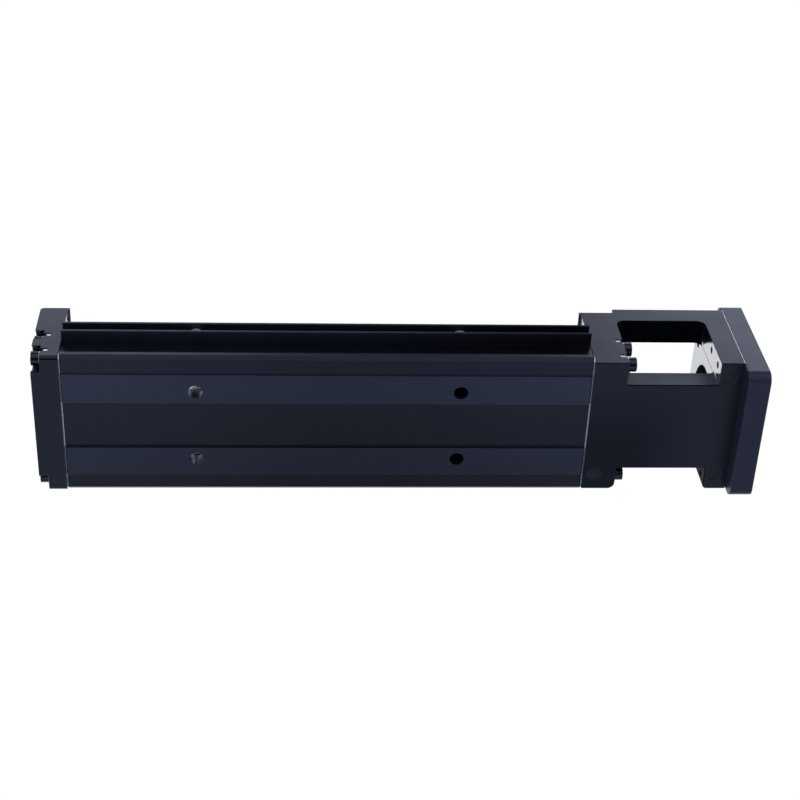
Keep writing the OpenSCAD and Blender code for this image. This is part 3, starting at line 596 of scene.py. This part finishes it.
# Distance in front of the seat and radius of each round ring, from the tip to the head's face, in mm.
SCREW_RINGS = [
    (-4.5, POLE / MM), (-4.5, 1.0), (-4.2, 1.3), (0, 1.3),
    (0, 2.2), (2.2, 2.2), (2.45, 2.1), (HEAD_RISE, 1.85),
]
SOCKET_RINGS = [HEAD_RISE, HEAD_RISE - SOCKET_DEPTH, HEAD_RISE - SOCKET_DEPTH]
SENSOR_RAIL_BACK = 1 * MM


def socket_screw(centre_x, seat_y, centre_z):
    """Low-head socket screw along -Y: radius(t, turn) at t in front of its seat.

    The radius is the same all round on the shank and the head, and a hexagon's in the socket: half its width
    across flats over the cosine of the angle from the nearest flat's middle.
    """
    hexagon = SOCKET_FLAT / np.cos((around_axis % (math.pi / 3)) - math.pi / 6)
    t, plain = np.hsplit(np.array(SCREW_RINGS) * MM, 2)
    along = np.concatenate([t, np.array(SOCKET_RINGS)[:, None] * MM]) + 0 * around_axis
    radius = np.concatenate([plain + 0 * around_axis, hexagon, hexagon, POLE + 0 * around_axis])
    return np.stack(
        [centre_x + radius * np.cos(around_axis), seat_y - along, centre_z + radius * np.sin(around_axis)],
        axis=-1,
    )


def sensor_rail_screws():
    """One screw at each end of the node's box, on the inside of the sensor rail's back."""
    low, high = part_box("sensor_rail_screws")
    centre_z = (low.z + high.z) / 2
    inset = (high.z - low.z) / 2
    seat_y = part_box("sensor_rail")[1].y - SENSOR_RAIL_BACK
    return turned_mesh(
        "sensor_rail_socket_screws",
        socket_screw(low.x + inset, seat_y, centre_z),
        socket_screw(high.x - inset, seat_y, centre_z),
    )


dull_zinc = metal(
    "dull_zinc_plate", tint(0.66, 0.66, 0.66), tint(0.86, 0.86, 0.85), rough=0.62, line_size=0.3 * MM
)
dress(sensor_rail_screws(), dull_zinc, "base", "sensor_rail_screws")


# ---------------------------------------------------------------- floor, light and camera

FLOOR_REACH = 2.0
FLOOR_POINTS = 9
FLOOR_GAP = 0.05 * MM

WHITE = tint(1, 1, 1)
FRONT_ABOVE = tint(0.16, 0.175, 0.22)
FRONT_BELOW = tint(0.55, 0.61, 0.82)
BACK_BELOW = tint(0.24, 0.27, 0.38)
MIDDLE_BELOW = tint(0.1, 0.11, 0.15)
RIGHT_UNDER = tint(0.03, 0.036, 0.06)
FRONT_HORIZON = tint(1.1, 1.1, 1.2)
TOWARDS_MIDDLE = (0.078, 0.543, -0.836)
TOWARDS_UNDER = (0, -0.34, -0.94)

LAMP_COLOR = (0.85, 0.92, 1.14)
LAMP_SIZE = 0.4

CAMERA_PLACE = Vector((-17.967, -354.457, -545.384)) * MM
CAMERA_TURNS = -7.469, -57.649, -6.102
SENSOR_WIDTH = 36
FOCAL_WIDTHS = 1707.059 / 800
FAR_CLIP = 20


def show_floor():
    """A pale floor that only the camera sees, and only from above, with the object's shadow on it."""
    low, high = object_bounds()
    middle = (Vector(low) + Vector(high)) / 2
    steps = np.linspace(-FLOOR_REACH, FLOOR_REACH, FLOOR_POINTS)
    xs, ys = np.meshgrid(steps + middle.x, steps + middle.y, indexing="ij")
    points = np.stack([xs, ys, np.full_like(xs, low[2] - FLOOR_GAP)], axis=-1).reshape(-1, 3)
    index = np.arange(FLOOR_POINTS**2).reshape(FLOOR_POINTS, FLOOR_POINTS)
    quads = np.stack([index[:-1, :-1], index[1:, :-1], index[1:, 1:], index[:-1, 1:]], axis=-1)
    mesh = bpy.data.meshes.new("studio_floor")
    mesh.from_pydata(points.tolist(), [], quads.reshape(-1, 4).tolist())
    floor = bpy.data.objects.new("studio_floor", mesh)
    bpy.context.scene.collection.objects.link(floor)
    material, g = new_finish("floor_paper")
    camera_ray = g.node("ShaderNodeLightPath", output="Is Camera Ray")
    from_below = g.node("ShaderNodeNewGeometry", output="Backfacing")
    paper = g.node("ShaderNodeBsdfDiffuse", inputs={"Color": tint(0.86, 0.86, 0.87)})
    clear = g.node("ShaderNodeBsdfTransparent")
    shown = g.node("ShaderNodeMixShader", inputs={0: camera_ray * (1 - from_below), 1: clear, 2: paper})
    g.node("ShaderNodeOutputMaterial", inputs={"Surface": shown})
    mesh.materials.append(material)


def light_world():
    """White behind and above the object, for the camera, gloss and light alike. Elsewhere the camera still
    sees white, but gloss and light find a dim studio: cool below, black right underneath, and a bright
    band round the horizon in front.
    """
    world = bpy.data.worlds.new("studio")
    bpy.context.scene.world = world
    world.use_nodes = True
    g = Graph(world.node_tree)
    direction = g.node("ShaderNodeTexCoord", output="Generated")
    _, back, up = g.split(direction)
    above = g.mix(back.above(0.0, 0.35), FRONT_ABOVE, WHITE)
    below = g.mix(up.above(-0.72, 0.12) * back.above(0.2, 0.2), FRONT_BELOW, BACK_BELOW)
    below = g.mix(g.dot(direction, TOWARDS_MIDDLE).above(0.985, 0.0147), below, MIDDLE_BELOW)
    below = g.mix(g.dot(direction, TOWARDS_UNDER).above(0.89, 0.06), below, RIGHT_UNDER)
    around = g.mix(up.above(0.08, 0.4), below, above)
    horizon = abs(up).below(0.07, 0.06) * back.below(-0.4, 0.2)
    around = g.mix(horizon, around, FRONT_HORIZON)
    backdrop = up.above(0.08, 0.4) * back.above(0.0, 0.35)
    path = g.node("ShaderNodeLightPath").socket.node.outputs
    camera, through, gloss = (
        Value(g, path[ray]) for ray in ("Is Camera Ray", "Is Transmission Ray", "Is Glossy Ray")
    )
    color = g.mix(camera + through + gloss * backdrop, around, WHITE)
    glow = g.node("ShaderNodeBackground", inputs={"Color": color, "Strength": 1.0})
    g.node("ShaderNodeOutputWorld", inputs={"Surface": glow})


def soft_lamp(name, place, aim, power):
    """A square soft box at place, turned to aim, with a cool light."""
    lamp = bpy.data.lights.new(name, "AREA")
    lamp.color = LAMP_COLOR
    lamp.size = LAMP_SIZE
    lamp.energy = power
    made = bpy.data.objects.new(name, lamp)
    bpy.context.scene.collection.objects.link(made)
    made.location = place
    made.rotation_euler = (Vector(aim) - Vector(place)).to_track_quat("-Z", "Y").to_euler()


def set_camera():
    """A long lens below the module and to its side, rolled a little.

    CAMERA_TURNS are its degrees round, up and over, and FOCAL_WIDTHS is its focal length in picture widths.
    """
    around, up, roll = (math.radians(turn) for turn in CAMERA_TURNS)
    back = Vector((math.sin(around) * math.cos(up), -math.cos(around) * math.cos(up), math.sin(up)))
    right = (-back).cross(Vector(Z_AXIS)).normalized()
    top = right.cross(-back)
    across = math.cos(roll) * right + math.sin(roll) * top
    over = math.cos(roll) * top - math.sin(roll) * right
    lens = bpy.data.cameras.new("camera")
    lens.sensor_width = SENSOR_WIDTH
    lens.lens = FOCAL_WIDTHS * SENSOR_WIDTH
    lens.clip_end = FAR_CLIP
    camera = bpy.data.objects.new("camera", lens)
    turned = Matrix((across, over, back)).transposed().to_4x4()
    camera.matrix_world = Matrix.Translation(CAMERA_PLACE) @ turned
    bpy.context.scene.collection.objects.link(camera)
    bpy.context.scene.camera = camera


show_floor()
light_world()
soft_lamp("left_box", place=(-0.28, -0.58, 1.02), aim=(-0.08, 0, 0), power=0.95)
soft_lamp("right_box", place=(0.5, -0.5, 1.02), aim=(0.14, 0, 0), power=1.35)
set_camera()

bpy.context.scene.view_settings.view_transform = "Standard"
